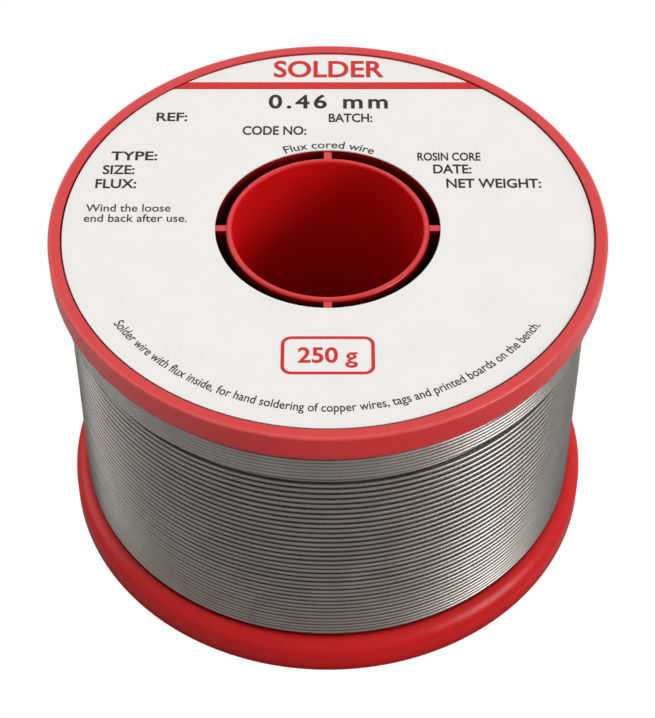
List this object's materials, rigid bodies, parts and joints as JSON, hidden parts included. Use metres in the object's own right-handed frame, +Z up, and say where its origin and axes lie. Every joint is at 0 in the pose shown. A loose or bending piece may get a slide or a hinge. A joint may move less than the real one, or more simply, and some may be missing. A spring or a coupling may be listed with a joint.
{
  "type": "solder wire spool",
  "caption": "Flanged plastic reel with a webbed double hub and paper end labels, wound with solder wire whose free end bends off the coil.",
  "frame": {"origin": "centre of the lower rim's resting face", "axes": "+Z up along the spool's axis; the label reads upright seen from -Y; the wire's free end lies on the +Y side"},
  "size_m": [0.055, 0.055, 0.0367],
  "materials": {
    "reel_plastic": "moulded polystyrene, soft gloss",
    "label_paper": "coated paper, printed on the upper label",
    "solder": "drawn tin alloy wire, dull bright",
    "flux": "amber rosin"
  },
  "bodies": {
    "spool": {"lower_reel_half": "reel_plastic", "upper_reel_half": "reel_plastic", "lower_label": "label_paper", "upper_label": "label_paper", "packed_layers": "solder", "under_layer": "solder", "outer_layer": "solder", "last_turns": "solder", "wire_start_end": "solder"},
    "tail_1": {"wire_tail_1": "solder"},
    "tail_2": {"wire_tail_2": "solder"},
    "tail_3": {"wire_tail_3": "solder"},
    "tail_4": {"wire_tail_4": "solder"},
    "tail_5": {"wire_tail_5": "solder"},
    "tail_6": {"wire_tail_6": "solder", "tail_flux_cores": "flux"}
  },
  "joints": [
    {"name": "tail_bend_1", "type": "hinge", "parent": "spool", "child": "tail_1", "pos_m": [-0.0107, 0.02404, 0.02961], "axis": [0, 0, 1], "range_deg": [0, 12]},
    {"name": "tail_bend_2", "type": "hinge", "parent": "tail_1", "child": "tail_2", "pos_m": [-0.00725, 0.02529, 0.02961], "axis": [0, 0, 1], "range_deg": [0, 12]},
    {"name": "tail_bend_3", "type": "hinge", "parent": "tail_2", "child": "tail_3", "pos_m": [-0.00366, 0.02605, 0.02961], "axis": [0, 0, 1], "range_deg": [0, 12]},
    {"name": "tail_bend_4", "type": "hinge", "parent": "tail_3", "child": "tail_4", "pos_m": [0, 0.02631, 0.02961], "axis": [0, 0, 1], "range_deg": [0, 12]},
    {"name": "tail_bend_5", "type": "hinge", "parent": "tail_4", "child": "tail_5", "pos_m": [0.00366, 0.02605, 0.02961], "axis": [0, 0, 1], "range_deg": [0, 12]},
    {"name": "tail_bend_6", "type": "hinge", "parent": "tail_5", "child": "tail_6", "pos_m": [0.00725, 0.02529, 0.02961], "axis": [0, 0, 1], "range_deg": [0, 12]}
  ],
  "couplings": [
    {"joint": "tail_bend_2", "follows": "tail_bend_1", "ratio": 1},
    {"joint": "tail_bend_3", "follows": "tail_bend_1", "ratio": 1},
    {"joint": "tail_bend_4", "follows": "tail_bend_1", "ratio": 1},
    {"joint": "tail_bend_5", "follows": "tail_bend_1", "ratio": 1},
    {"joint": "tail_bend_6", "follows": "tail_bend_1", "ratio": 1}
  ]
}
